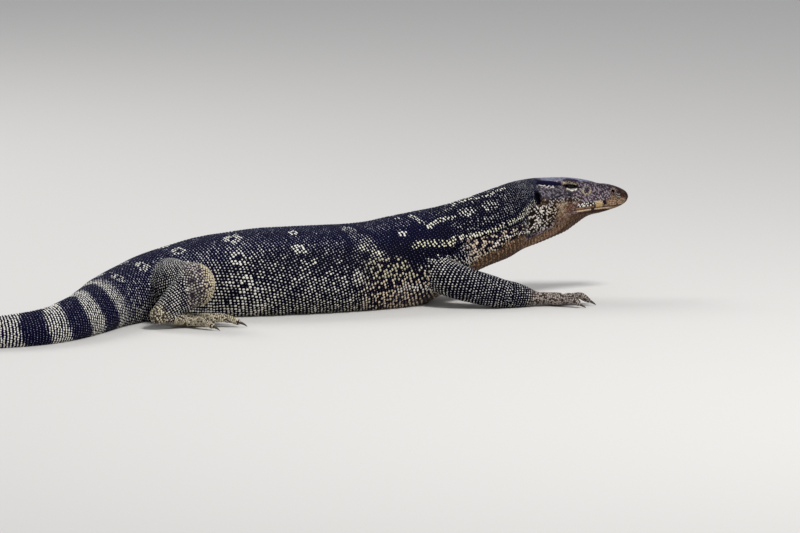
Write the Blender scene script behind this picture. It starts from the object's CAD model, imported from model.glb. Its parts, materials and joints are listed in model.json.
"""Looks of the water monitor lizard: one skin over the solids, a coat of small scales, eyes and claws."""

import json
import math
from functools import partial

import bmesh
import bpy
import numpy as np
from mathutils import Matrix, Vector
from mathutils.bvhtree import BVHTree
from mathutils.kdtree import KDTree


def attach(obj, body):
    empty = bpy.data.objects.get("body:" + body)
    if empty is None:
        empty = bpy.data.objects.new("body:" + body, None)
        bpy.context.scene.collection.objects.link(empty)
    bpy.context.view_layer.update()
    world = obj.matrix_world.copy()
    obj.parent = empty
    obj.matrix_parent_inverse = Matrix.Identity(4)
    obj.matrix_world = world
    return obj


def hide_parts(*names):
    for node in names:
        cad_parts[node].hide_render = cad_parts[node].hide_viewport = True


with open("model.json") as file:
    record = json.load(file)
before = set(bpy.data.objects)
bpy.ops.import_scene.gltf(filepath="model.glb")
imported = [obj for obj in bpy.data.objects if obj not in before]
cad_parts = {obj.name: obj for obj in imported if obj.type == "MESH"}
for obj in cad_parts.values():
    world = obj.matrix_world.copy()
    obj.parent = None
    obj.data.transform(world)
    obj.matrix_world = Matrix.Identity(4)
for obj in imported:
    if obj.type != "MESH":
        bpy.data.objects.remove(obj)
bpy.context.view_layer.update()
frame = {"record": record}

RANDOM = np.random.default_rng(7)
RIGHT = -1
LEFT = 1
SIDE_NAMES = {RIGHT: "right", LEFT: "left"}

# How far the skin lies inside the solids, the cells it is fused from, its count of triangles,
# and the head that is spared when it is thinned
COAT_DEPTH = 0.0006
SKIN_CELL = 0.0012
SKIN_TRIANGLES = 190000
SPARED_FROM = 0.295

# The crown's plates are larger than the rest of the head's by this share; how far the head's
# scales are shuffled, and the passes that pack them again, each with this share of the push
CROWN_EXTRA = 0.30
HEAD_SHUFFLE = 0.00035
PACKING_PASSES = 12
PACKING_PUSH = 0.45
# Roots nearer than the first share of a scale crowd it; skin farther than the second is bare,
# and is filled with scales that keep the third apart
CROWD_SHARE = 0.62
BARE_SHARE = 0.86
FILL_SHARE = 0.92
# Roots farther from the skin than this belong to a hidden part
ROOT_REACH = 0.0070
DIGIT_ROOT_REACH = 0.0025
# Random shifts of scales from their rows, as shares of the spacing
TRUNK_JITTER = 0.08
NECK_JITTER = 0.13
LIMB_JITTER = 0.06

# Stations along the body, as in the solids
SNOUT_TIP = 0.4452
TAIL_TIP = -1.382
HEAD_START = 0.276
NECK_START = 0.115
BEND_START = -0.150
BEND = ((-0.050, 0.0), (BEND_START, 0.0), (-0.215, -0.008), (-0.274, -0.036), (-0.324, -0.082),
        (-0.365, -0.136), (-0.408, -0.184), (-0.462, -0.215), (-0.526, -0.222), (-0.620, -0.198),
        (-0.750, -0.140), (-0.900, -0.105), (-1.050, -0.125), (-1.170, -0.180), (-1.250, -0.250))

# Parts of the coat, from the body to the digits
BODY, HEAD, LIP, LID, NOSTRIL, UPPER, LOWER, PALM, DIGIT = range(9)
# Rows of scales along the lips: rise over the mouth line, length and height
LIP_ROWS = ((0.0019, 0.0027, 0.0030), (-0.0018, 0.0026, 0.0026),
            (0.0046, 0.0024, 0.0024), (-0.0042, 0.0023, 0.0022))
# Distances between scales along the limbs' parts and round them
LIMB_PITCHES = {UPPER: (0.0041, 0.0037), LOWER: (0.0037, 0.0033),
                PALM: (0.0027, 0.0025), DIGIT: (0.0025, 0.0023)}
# Scales in one piece of the coat
COAT_PIECE = 8000

EYE_PLACE = (0.3555, 0.0150, 0.1527)
EYE_RADIUS = 0.0072
LID_RADII = (0.0118, 0.0088, 0.0086)
SLIT_OUTWARD = 0.0085
SLIT_RADII = (0.0098, 0.0047, 0.0026)
SLIT_TILT = math.radians(5)
EAR_PLACE = (0.3035, 0.0338, 0.1410)
EAR_RADII = (0.0034, 0.0058, 0.0080)
EAR_TILT = math.radians(-8)
NOSTRIL_PLACE = (0.4200, 0.0118, 0.1425)
NOSTRIL_RADII = (0.0030, 0.0036, 0.0015)
NOSTRIL_TILT = math.radians(28)
# Openings that scales leave free: place, radii, tilt and how far beyond them
OPENINGS = ((EYE_PLACE, SLIT_RADII, SLIT_TILT, 0.0),
            (EAR_PLACE, EAR_RADII, EAR_TILT, 0.0003),
            (NOSTRIL_PLACE, NOSTRIL_RADII, NOSTRIL_TILT, 0.0001))
MOUTH_HALF_GAP = 0.00032
MOUTH_CORNER = (0.3560, 0.1190)
MOUTH_FRONT = (0.4600, 0.1235)
MOUTH_MIDDLE = (0.3930, 0.1208)


def through(*knots):
    """A smooth curve y(x) through the knots, which never swings past them; x may be an array."""
    xs = np.array([knot[0] for knot in knots])
    ys = np.array([knot[1] for knot in knots])
    steps = np.diff(xs)
    slopes = np.diff(ys) / steps
    tangents = np.concatenate(([slopes[0]], np.zeros(len(xs) - 2), [slopes[-1]]))
    for i in range(1, len(xs) - 1):
        product = slopes[i - 1] * slopes[i]
        if product > 0:
            tangents[i] = 2 * product / (slopes[i - 1] + slopes[i])

    def curve(x):
        x = np.clip(x, xs[0], xs[-1])
        i = np.clip(np.searchsorted(xs, x, side="right") - 1, 0, len(steps) - 1)
        t = (x - xs[i]) / steps[i]
        rise = (3 - 2 * t) * t * t
        lift_start = t * (1 - t) ** 2 * steps[i] * tangents[i]
        lift_end = t * t * (t - 1) * steps[i] * tangents[i + 1]
        return ys[i] + (ys[i + 1] - ys[i]) * rise + lift_start + lift_end

    return curve


back_line = through(
    (-1.382, 0.004), (-1.20, 0.013), (-1.00, 0.022), (-0.80, 0.032), (-0.65, 0.039), (-0.54, 0.044),
    (-0.476, 0.053), (-0.40, 0.062), (-0.30, 0.074), (-0.25, 0.084), (-0.207, 0.092), (-0.17, 0.100),
    (-0.121, 0.1055), (-0.071, 0.1090), (0.037, 0.1095), (0.07, 0.1115), (0.103, 0.1175), (0.136, 0.123),
    (0.169, 0.128), (0.202, 0.136), (0.235, 0.146), (0.261, 0.154), (0.288, 0.1605), (0.317, 0.163),
    (0.3375, 0.163), (0.355, 0.1625), (0.372, 0.1605), (0.389, 0.1570), (0.402, 0.1530), (0.414, 0.1515),
    (0.424, 0.1490), (0.431, 0.1464), (0.438, 0.1430), (0.4425, 0.1396), (SNOUT_TIP, 0.1355))
belly_line = through(
    (-1.382, -0.0003), (-1.0, -0.0018), (-0.65, -0.004), (-0.40, -0.007), (-0.25, -0.012),
    (-0.10, -0.014), (0.06, -0.014), (0.10, -0.013), (0.12, -0.009), (0.136, -0.001), (0.169, 0.027),
    (0.202, 0.042), (0.235, 0.053), (0.261, 0.0645), (0.288, 0.0715), (0.303, 0.076), (0.317, 0.0805),
    (0.3375, 0.087), (0.355, 0.0955), (0.372, 0.1035), (0.389, 0.1088), (0.402, 0.1108), (0.414, 0.1135),
    (0.424, 0.1163), (0.431, 0.1185), (0.438, 0.1218), (0.4425, 0.1254), (SNOUT_TIP, 0.1300))
lean = through(
    (0.10, 0.0), (0.136, 0.014), (0.169, 0.031), (0.235, 0.033), (0.288, 0.024), (0.317, 0.020),
    (0.355, 0.011), (0.389, 0.001), (0.402, 0.0))
half_width = through(
    (-1.382, 0.0016), (-1.20, 0.0055), (-1.00, 0.009), (-0.80, 0.0135), (-0.65, 0.018), (-0.54, 0.0235),
    (-0.476, 0.0275), (-0.40, 0.035), (-0.30, 0.047), (-0.26, 0.056), (-0.22, 0.067), (-0.18, 0.079),
    (-0.14, 0.088), (-0.09, 0.094), (-0.03, 0.0955), (0.03, 0.091), (0.08, 0.082), (0.12, 0.071),
    (0.15, 0.062), (0.175, 0.054), (0.195, 0.0485), (0.215, 0.044), (0.235, 0.041), (0.261, 0.0382),
    (0.288, 0.0362), (0.305, 0.0352), (0.322, 0.0335), (0.340, 0.0293), (0.355, 0.0255), (0.372, 0.0222),
    (0.389, 0.0188), (0.402, 0.0167), (0.414, 0.0150), (0.424, 0.0136), (0.431, 0.0121), (0.438, 0.0097),
    (0.4425, 0.0068), (SNOUT_TIP, 0.0030))
widest = through(
    (-1.0, 0.40), (-0.40, 0.42), (-0.20, 0.42), (0.05, 0.42), (0.16, 0.44), (0.26, 0.50), (0.317, 0.52),
    (0.355, 0.45), (0.389, 0.36), (0.424, 0.36), (SNOUT_TIP, 0.45))
square_above = through(
    (-0.9, 1.75), (-0.45, 1.85), (-0.25, 2.1), (0.05, 2.15), (0.25, 2.2), (0.317, 2.7), (0.372, 2.5),
    (0.424, 2.5))
square_below = through((-0.9, 2.2), (-0.1, 2.5), (0.1, 2.4), (0.2, 2.05), (0.317, 2.0), (0.389, 2.4))

# Swellings (+) and hollows (-) of the head: place, reach along X, across and up, and height
RELIEF = (
    ((0.3530, 0.0205, 0.1595), (0.0150, 0.0060, 0.0040), 0.0026),     # brow
    ((0.3900, 0.0130, 0.1500), (0.0180, 0.0045, 0.0040), 0.0012),     # ridge from brow to nostril
    ((0.3880, 0.0185, 0.1370), (0.0140, 0.0080, 0.0060), -0.0017),    # hollow before the eye
    ((0.4190, 0.0105, 0.1440), (0.0070, 0.0060, 0.0055), 0.0015),     # swelling at the nostril
    ((0.3950, 0.0180, 0.1250), (0.0280, 0.0080, 0.0030), 0.0012),     # upper lip
    ((0.3800, 0.0200, 0.1145), (0.0300, 0.0090, 0.0030), 0.0010),     # lower lip
    ((0.3230, 0.0350, 0.1230), (0.0200, 0.0150, 0.0150), 0.0024),     # jaw muscle
    ((0.3380, 0.0290, 0.1480), (0.0100, 0.0100, 0.0060), -0.0012),    # temple
    ((0.2960, 0.0350, 0.1400), (0.0050, 0.0100, 0.0120), 0.0012),     # rim behind the ear
)

# Limbs: joints at the middle of each limb, palm, and bearing of the foot
LIMBS = {
    ("arm", RIGHT): {
        "joints": ((0.138, -0.036, 0.052), (0.172, -0.076, 0.036), (0.222, -0.098, 0.0215),
                   (0.280, -0.0985, 0.0110)),
        "palm": (0.3125, -0.0995, 0.0095), "bearing": 0},
    ("arm", LEFT): {
        "joints": ((0.138, 0.036, 0.052), (0.122, 0.090, 0.044), (0.088, 0.134, 0.036),
                   (0.122, 0.166, 0.0135)),
        "palm": (0.143, 0.180, 0.0085), "bearing": 36},
    ("leg", RIGHT): {
        "joints": ((-0.226, -0.030, 0.047), (-0.227, -0.090, 0.050), (-0.2140, -0.136, 0.0570),
                   (-0.268, -0.144, 0.0190)),
        "palm": (-0.218, -0.131, 0.0090), "bearing": -10},
    ("leg", LEFT): {
        "joints": ((-0.215, 0.010, 0.043), (-0.200, 0.076, 0.040), (-0.170, 0.130, 0.0380),
                   (-0.234, 0.146, 0.0180)),
        "palm": (-0.185, 0.160, 0.0090), "bearing": 14},
}
# Half widths and half heights along each length of a limb, each digit's bearing, length and
# knuckle height, and how far round the upper length the skin is blended softly
LIMB_SIZES = {
    "arm": {"end": "hand",
            "upper": ((0.026, 0.028), (0.024, 0.0245), (0.0195, 0.0215)),
            "lower": ((0.0185, 0.0205), (0.0165, 0.0175), (0.0100, 0.0098)),
            "palm": ((0.0105, 0.0090), (0.0150, 0.0085)),
            "digits": ((-36, 0.020, 0.0130), (-17, 0.030, 0.0150), (0, 0.038, 0.0170),
                       (12, 0.040, 0.0190), (38, 0.029, 0.0145)),
            "digit_radius": 0.0050, "claw_length": 0.0090, "blend": 0.052},
    "leg": {"end": "foot",
            "upper": ((0.033, 0.034), (0.033, 0.034), (0.0240, 0.0300)),
            "lower": ((0.0215, 0.0270), (0.0190, 0.0210), (0.0125, 0.0130)),
            "palm": ((0.0125, 0.0105), (0.0190, 0.0095)),
            "digits": ((-22, 0.028, 0.0145), (-11, 0.040, 0.0160), (-2, 0.052, 0.0175),
                       (7, 0.062, 0.0175), (40, 0.036, 0.0150)),
            "digit_radius": 0.0056, "claw_length": 0.0110, "blend": 0.062},
}
# Claws' radius at the root, height of the tip and depth in the toe; then the knuckle's place along
# a digit, the tip's radius and the claw's root, as shares of the digit's length and radii
CLAW_RADIUS = 0.0023
CLAW_TIP_HEIGHT = 0.0006
CLAW_SUNK = 0.0024
KNUCKLE_SHARE = 0.70
TIP_SHARE = 0.80
END_REACH = 0.95

# Shades from the pupil's middle out to the iris's edge, and of the streaks in the claws' horn
IRIS_STOPS = ((0.0, (0.002, 0.002, 0.002)), (0.34, (0.002, 0.002, 0.002)), (0.40, (0.016, 0.008, 0.004)),
              (0.58, (0.009, 0.005, 0.003)), (0.66, (0.002, 0.002, 0.002)))
CLAW_STOPS = ((0.0, (0.010, 0.009, 0.008)), (1.0, (0.075, 0.060, 0.042)))
# Size of the bake map to the metre, and the radius of one scale's patch on it
UNWRAP_SCALE = 0.52
BAKE_PATCH_RADIUS = 0.0015

# The photograph's camera, and half the floor's width
CAMERA_TARGET = Vector((0.1074, -0.0247, 0.0519))
CAMERA_BACK = Vector((-0.2892, -0.9458, 0.1478)).normalized()
CAMERA_DISTANCE = 10.0
CAMERA_LENS = 327.6
FLOOR_REACH = 30.0


def unit(vectors):
    """Rows of an array scaled to length one."""
    return vectors / np.maximum(np.linalg.norm(vectors, axis=-1, keepdims=True), 1e-12)


def power(values, exponent):
    """A power that keeps each value's sign."""
    return np.sign(values) * np.abs(values) ** exponent


def ridge(value, middle, reach):
    """One at the middle, falling like a bell to both sides."""
    return np.exp(-((value - middle) / reach) ** 2)


def step_up(value, start, end):
    """Nothing before the start, one after the end, with a soft rise between them."""
    t = np.clip((value - start) / (end - start), 0.0, 1.0)
    return t * t * (3 - 2 * t)


def step_down(value, start, end):
    """One before the start, nothing after the end."""
    return 1 - step_up(value, start, end)


def between(value, start, end, soft):
    """One between start and end, falling to nothing over a soft edge outside them."""
    return step_up(value, start - soft, start) * step_down(value, end, end + soft)


def full_turn(count):
    """Even angles once round, without the last, which is the first again."""
    return np.linspace(0.0, 2 * math.pi, count + 1)[:-1]


def half_turns(angles):
    """Angles from 0 to a full turn, told as up to half a turn either way."""
    return np.where(angles > math.pi, angles - 2 * math.pi, angles)


def smooth_bend(points, steps):
    """Points along a smooth bend through all but the first and last of the given points."""
    bend = []
    for a, b, c, d in zip(points, points[1:], points[2:], points[3:]):
        for step in range(steps):
            t = step / steps
            square = 2 * a - 5 * b + 4 * c - d
            cube = 3 * b - a - 3 * c + d
            bend.append(0.5 * (2 * b + (c - a) * t + square * t * t + cube * t ** 3))
    bend.append(points[-2])
    return np.array(bend)


def line_lengths(line):
    """Length along a line at each of its points."""
    return np.concatenate(([0.0], np.cumsum(np.linalg.norm(np.diff(line, axis=0), axis=1))))


def at_lengths(stops, lengths, line):
    """A line's points, or vectors given at them, at any lengths along it."""
    return np.stack([np.interp(stops, lengths, line[:, k]) for k in range(3)], axis=-1)


def line_distance(a, b, line):
    """Distances of the points (a, b) from a bent line in the same plane."""
    best = np.full(np.shape(a), 9.0)
    for (a0, b0), (a1, b1) in zip(line, line[1:]):
        run = (a1 - a0, b1 - b0)
        t = np.clip(((a - a0) * run[0] + (b - b0) * run[1]) / (run[0] ** 2 + run[1] ** 2), 0.0, 1.0)
        best = np.minimum(best, np.hypot(a - a0 - t * run[0], b - b0 - t * run[1]))
    return best


def spine_line():
    """The spine's way over the floor, from the shoulders to the tail's tip."""
    points = [np.array((x, y, 0.0)) for x, y in BEND]
    points.append(2 * points[-1] - points[-2])
    return smooth_bend(points, 40)


SPINE = spine_line()
SPINE_LENGTHS = line_lengths(SPINE)
SPINE_HEADINGS = unit(SPINE - np.roll(SPINE, -1, axis=0))
SPINE_HEADINGS[-1] = SPINE_HEADINGS[-2]


def spine_place(stations):
    """Floor points under stations, with the directions towards the head there."""
    behind = np.maximum(BEND_START - stations, 0.0)
    place = at_lengths(behind, SPINE_LENGTHS, SPINE)
    place[..., 0] += np.maximum(stations - BEND_START, 0.0)
    return place, unit(at_lengths(behind, SPINE_LENGTHS, SPINE_HEADINGS))


def relief(places):
    """How far the head's surface is raised or sunk at places."""
    total = np.zeros(places.shape[:-1])
    for centre, reach, height in RELIEF:
        place = np.stack([places[..., 0], np.abs(places[..., 1]), places[..., 2]], axis=-1)
        offset = place - np.array(centre)
        total += height * np.exp(-np.sum((offset / np.array(reach)) ** 2, axis=-1))
    return total


def body_surface(stations, angles, grow=-COAT_DEPTH, floor=0.0):
    """Points of the body's surface; an angle is 0 on the back and pi on the belly, plus on the left."""
    stations, angles = np.broadcast_arrays(stations, angles)
    place, heading = spine_place(stations)
    sideways = np.stack([-heading[..., 1], heading[..., 0], np.zeros(stations.shape)], axis=-1)
    top = place.copy()
    top[..., 2] = back_line(stations)
    bottom = place + heading * lean(stations)[..., None]
    bottom[..., 2] = belly_line(stations)
    height = np.linalg.norm(top - bottom, axis=-1)
    up = unit(top - bottom)
    middle = bottom + up * (height * widest(stations))[..., None]
    wide = half_width(stations) + grow
    upper = np.cos(angles) >= 0
    reach = np.where(upper, height * (1 - widest(stations)), height * widest(stations)) + grow
    exponent = 2 / np.where(upper, square_above(stations), square_below(stations))
    across = wide * power(np.sin(angles), exponent)
    rise = reach * power(np.cos(angles), exponent)
    point = middle + sideways * across[..., None] + up * rise[..., None]
    outward = unit(sideways * (across / wide ** 2)[..., None] + up * (rise / reach ** 2)[..., None])
    point = point + outward * (relief(point) + folds(stations, angles, point))[..., None]
    point[..., 2] = np.maximum(point[..., 2], floor)
    return point


# Creases of the neck and throat seen from the side: X and Z along each, depth and half width
CREASES = (
    (((0.302, 0.130), (0.292, 0.121), (0.283, 0.1095), (0.268, 0.1035), (0.252, 0.0985), (0.238, 0.0925),
      (0.222, 0.0890), (0.205, 0.0865), (0.190, 0.0815), (0.178, 0.0760), (0.168, 0.0690)), 0.0036, 0.0026),
    (((0.300, 0.0880), (0.283, 0.0880), (0.268, 0.0860), (0.256, 0.0790), (0.247, 0.0690), (0.240, 0.0630)),
     0.0020, 0.0020),
    (((0.262, 0.0960), (0.246, 0.0860), (0.234, 0.0780), (0.222, 0.0700)), 0.0016, 0.0018),
    (((0.345, 0.1180), (0.332, 0.1080), (0.322, 0.1010), (0.310, 0.0960)), 0.0011, 0.0018),
)


def folds(stations, angles, point):
    """Soft folds of loose skin on neck, throat, armpit and flank."""
    side = np.abs(angles)
    low = step_up(side, 0.9, 1.3)
    depth = np.zeros(stations.shape)
    for line, sink, reach in CREASES:
        away = line_distance(point[..., 0], point[..., 2], line)
        depth += (-sink * ridge(away, 0.0, reach) + 0.35 * sink * ridge(away, 2.1 * reach, reach)) * low
    throat = step_up(stations, 0.17, 0.22) * step_down(stations, 0.36, 0.385) * step_up(side, 1.8, 2.3)
    depth += 0.0005 * throat * np.sin(stations * 1050.0 + 2.0 * np.sin(side * 3.0))
    armpit = ridge(stations, 0.078, 0.045) * step_up(side, 1.35, 1.8)
    depth += 0.0012 * armpit * np.sin(stations * 400.0 + side * 5.0 + 1.3 * np.sin(side * 9.0))
    flank = ridge(stations, -0.04, 0.13) * ridge(side, 2.0, 0.45)
    depth += 0.0009 * flank * np.sin(stations * 190.0 - side * 4.0 + 1.5 * np.sin(stations * 47.0))
    return depth


def tube_line(points, sizes):
    """Centre line of a limb with its half widths and half heights, by length along it."""
    points = [np.array(point, dtype=float) for point in points]
    ends = (2 * points[0] - points[1], 2 * points[-1] - points[-2])
    line = smooth_bend([ends[0], *points, ends[1]], 16)
    lengths = line_lengths(line)
    knots = [lengths[-1] * i / (len(points) - 1) for i in range(len(points))]
    across = through(*[(knot, size[0]) for knot, size in zip(knots, sizes)])
    upright = through(*[(knot, size[1]) for knot, size in zip(knots, sizes)])
    headings = unit(np.gradient(line, axis=0))
    return line, headings, lengths, across, upright


def tube_surface(tube, lengths_along, angles, grow=-COAT_DEPTH):
    """Points of a round-ended tube; an angle is 0 on top and plus on the left of its heading."""
    line, headings, lengths, across, upright = tube
    lengths_along, angles = np.broadcast_arrays(lengths_along, angles)
    total = lengths[-1]
    inside = np.clip(lengths_along, 0.0, total)
    middle = at_lengths(inside, lengths, line)
    heading = unit(at_lengths(inside, lengths, headings))
    beyond = lengths_along - inside
    middle = middle + heading * beyond[..., None]
    radius = np.where(beyond < 0, upright(0.0), upright(total))
    shrink = np.sqrt(np.maximum(1 - (beyond / radius) ** 2, 0.0))
    sideways = unit(np.cross(np.array((0.0, 0.0, 1.0)), heading))
    up = np.cross(heading, sideways)
    wide = np.maximum(across(inside) * shrink + grow, 0.0001)
    high = np.maximum(upright(inside) * shrink + grow, 0.0001)
    point = middle + sideways * (wide * np.sin(angles))[..., None] + up * (high * np.cos(angles))[..., None]
    point[..., 2] = np.maximum(point[..., 2], 0.0)
    return point


def digit_plan(palm, ahead, aside, sizes, number, bearing, length, rise):
    """A digit's tube, with its claw's root, heading and length."""
    radius = sizes["digit_radius"]
    angle = math.radians(bearing)
    along = ahead * math.cos(angle) + aside * math.sin(angle)
    spread = (number - 3) / 2.4
    base = palm + aside * (sizes["palm"][1][0] * spread) - ahead * (0.006 * abs(spread) ** 1.5)
    base[2] = radius + 0.002
    knuckle = base + along * (KNUCKLE_SHARE * length)
    knuckle[2] = rise - radius
    tip = base + along * length
    tip[2] = 0.35 * knuckle[2] + 0.65 * radius * TIP_SHARE
    start = base - along * 0.008
    widths = [(radius * share, radius * share) for share in (1.10, 1.0, 1.0, TIP_SHARE)]
    heading = unit(tip - knuckle)
    claw_root = tip + heading * (radius * TIP_SHARE * END_REACH)
    return tube_line((start, base, knuckle, tip), widths), (claw_root, heading, sizes["claw_length"])


def limb_plan():
    """Tubes of all limbs with the part that each belongs to, and all claws by name."""
    tubes = []
    claws = {}
    for (kind, side), limb in LIMBS.items():
        sizes = LIMB_SIZES[kind]
        root, swell, joint, wrist = (np.array(place) for place in limb["joints"])
        palm = np.array(limb["palm"])
        tubes.append((UPPER, tube_line((root, swell, joint), sizes["upper"])))
        tubes.append((LOWER, tube_line((joint, (joint + wrist) / 2, wrist), sizes["lower"])))
        tubes.append((PALM, tube_line((wrist, palm), sizes["palm"])))
        turn = math.radians(limb["bearing"])
        ahead = np.array((math.cos(turn), math.sin(turn), 0.0))
        aside = np.array((-ahead[1], ahead[0], 0.0)) * side
        for number, digit in enumerate(sizes["digits"], start=1):
            tube, claw = digit_plan(palm, ahead, aside, sizes, number, *digit)
            tubes.append((DIGIT, tube))
            claws["claw_%s_%s_%d" % (sizes["end"], SIDE_NAMES[side], number)] = claw
    return tubes, claws


LIMB_TUBES, CLAWS = limb_plan()


def new_mesh(name, places, faces):
    """A mesh of triangles or quads from arrays."""
    mesh = bpy.data.meshes.new(name)
    mesh.vertices.add(len(places))
    mesh.vertices.foreach_set("co", np.ascontiguousarray(places, dtype=np.float32).ravel())
    corners = faces.shape[1]
    mesh.loops.add(faces.size)
    mesh.loops.foreach_set("vertex_index", np.ascontiguousarray(faces, dtype=np.int32).ravel())
    mesh.polygons.add(len(faces))
    mesh.polygons.foreach_set("loop_start", np.arange(0, faces.size, corners, dtype=np.int32))
    mesh.update(calc_edges=True)
    mesh.validate()
    return mesh


def new_object(name, data):
    shape = bpy.data.objects.new(name, data)
    bpy.context.scene.collection.objects.link(shape)
    return shape


def tube_mesh(rings):
    """Places and triangles of a closed tube through rings of equal count."""
    count, sides = rings.shape[:2]
    index = np.arange(count * sides).reshape(count, sides)
    a = index[:-1]
    b = np.roll(index, -1, axis=1)[:-1]
    c = np.roll(index, -1, axis=1)[1:]
    d = index[1:]
    walls = [np.stack(corners, axis=-1).reshape(-1, 3) for corners in ((a, b, c), (a, c, d))]
    ends = count * sides
    places = np.concatenate([rings.reshape(-1, 3), [rings[0].mean(axis=0), rings[-1].mean(axis=0)]])
    first = np.stack([np.roll(index[0], -1), index[0], np.full(sides, ends)], axis=-1)
    last = np.stack([index[-1], np.roll(index[-1], -1), np.full(sides, ends + 1)], axis=-1)
    return places, np.concatenate([*walls, first, last])


def rounded_lengths(tube, step):
    """Lengths along a tube for its rings, closer together round its ends."""
    _, _, lengths, _, upright = tube
    total = lengths[-1]
    shares = np.sin(np.linspace(0.0, math.pi / 2, 9)) * 0.985
    middle = np.linspace(0.0, total, max(3, int(total / step)))
    return np.concatenate([-shares[:0:-1] * upright(0.0), middle, total + shares[1:] * upright(total)])


def apply_modifiers(shape):
    """Replace an object's mesh by what its modifiers make of it."""
    mesh = bpy.data.meshes.new_from_object(shape.evaluated_get(bpy.context.evaluated_depsgraph_get()))
    shape.modifiers.clear()
    shape.data = mesh


def ellipsoid(name, centre, radii, tilt=0.0, segments=32):
    """An ellipsoid, tilted about the sideways axis."""
    shape = bmesh.new()
    bmesh.ops.create_uvsphere(shape, u_segments=segments, v_segments=segments // 2, radius=1.0)
    turn = Matrix.Rotation(tilt, 4, "Y")
    stretch = Matrix.Diagonal((*radii, 1.0))
    bmesh.ops.transform(shape, matrix=Matrix.Translation(centre) @ turn @ stretch, verts=shape.verts)
    mesh = bpy.data.meshes.new(name)
    shape.to_mesh(mesh)
    shape.free()
    return new_object(name, mesh)


def on_side(place, side):
    """A place of the left side, or its mirror on the right."""
    return Vector((place[0], place[1] * side, place[2]))


def vertex_vectors(mesh, name="co"):
    """The places of a mesh's vertices, or their normals."""
    vectors = np.empty(len(mesh.vertices) * 3, dtype=np.float32)
    mesh.vertices.foreach_get(name, vectors)
    return vectors.reshape(-1, 3).astype(float)


def search_tree(places):
    """A tree that finds the nearest of many places."""
    tree = KDTree(len(places))
    for i, place in enumerate(places):
        tree.insert(place, i)
    tree.balance()
    return tree


def soften(mesh, zones, passes):
    """Smooth the mesh inside round zones, given as centre, radius and strength, most at their middle."""
    places = vertex_vectors(mesh)
    edges = np.empty(len(mesh.edges) * 2, dtype=np.int32)
    mesh.edges.foreach_get("vertices", edges)
    edges = edges.reshape(-1, 2)
    weight = np.zeros(len(places))
    for centre, radius, strength in zones:
        distance = np.linalg.norm(places - np.array(centre), axis=1)
        weight = np.maximum(weight, strength * step_down(distance, radius * 0.55, radius))
    counts = np.bincount(edges.ravel(), minlength=len(places))
    on_floor = places[:, 2] < 0.0004
    for _ in range(passes):
        total = np.zeros_like(places)
        for k in range(3):
            total[:, k] += np.bincount(edges[:, 0], places[edges[:, 1], k], len(places))
            total[:, k] += np.bincount(edges[:, 1], places[edges[:, 0], k], len(places))
        places += (total / counts[:, None] - places) * (0.5 * weight)[:, None]
        places[on_floor, 2] = 0.0
    places[:, 2] = np.maximum(places[:, 2], 0.0)
    mesh.vertices.foreach_set("co", places.astype(np.float32).ravel())
    mesh.update()


def height_between(x, start, end):
    """Height at x of the straight line through two points of the (X, Z) plane."""
    return start[1] + (x - start[0]) * (end[1] - start[1]) / (end[0] - start[0])


def mouth_height(x):
    """Height of the line between the lips."""
    return np.where(x < MOUTH_MIDDLE[0], height_between(x, MOUTH_CORNER, MOUTH_MIDDLE),
                    height_between(x, MOUTH_MIDDLE, MOUTH_FRONT))


def mouth_path(rise):
    """Right corner of the mouth to the chin's tip and back to the left corner, raised, and the way inward."""
    right = []
    angles = np.linspace(1.0, math.pi, 400)
    for station in np.arange(0.330, 0.4345, 0.0008):
        rim = body_surface(station, -angles)
        above = rim[:, 2] - mouth_height(rim[:, 0]) - rise
        below = np.nonzero(above < 0)[0]
        if len(below) and below[0] > 0 and rim[below[0], 0] > MOUTH_CORNER[0]:
            right.append(rim[below[0]])
    right = np.array(right)
    left = right[::-1] * np.array((1.0, -1.0, 1.0))
    path = np.concatenate([right, left])
    heading = unit(np.gradient(path, axis=0) * np.array((1.0, 1.0, 0.0)))
    return path, np.stack([-heading[:, 1], heading[:, 0], np.zeros(len(path))], axis=-1)


def mouth_cutter():
    """A thin blade round the jaws that opens the line of the mouth."""
    path, inward = mouth_path(0.0)
    run = line_lengths(path)
    depth = 0.0021 * np.minimum(step_up(run, 0.0, 0.010), step_up(run[-1] - run, 0.0, 0.010)) + 0.0003
    up = np.array((0.0, 0.0, MOUTH_HALF_GAP))
    outer = path - inward * 0.004
    inner = path + inward * depth[:, None]
    rings = np.stack([outer - up, outer + up, inner + up * 0.4, inner - up * 0.4], axis=1)
    return new_object("mouth", new_mesh("mouth", *tube_mesh(rings)))


def lid_mesh(side):
    """Places and triangles of an eye's lids."""
    lid = ellipsoid("lid", on_side(EYE_PLACE, side), [radius - COAT_DEPTH for radius in LID_RADII], SLIT_TILT)
    shape = bmesh.new()
    shape.from_mesh(lid.data)
    bmesh.ops.triangulate(shape, faces=shape.faces)
    shape.to_mesh(lid.data)
    shape.free()
    places = vertex_vectors(lid.data)
    faces = np.array([list(face.vertices) for face in lid.data.polygons])
    bpy.data.objects.remove(lid)
    return places, faces


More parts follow.
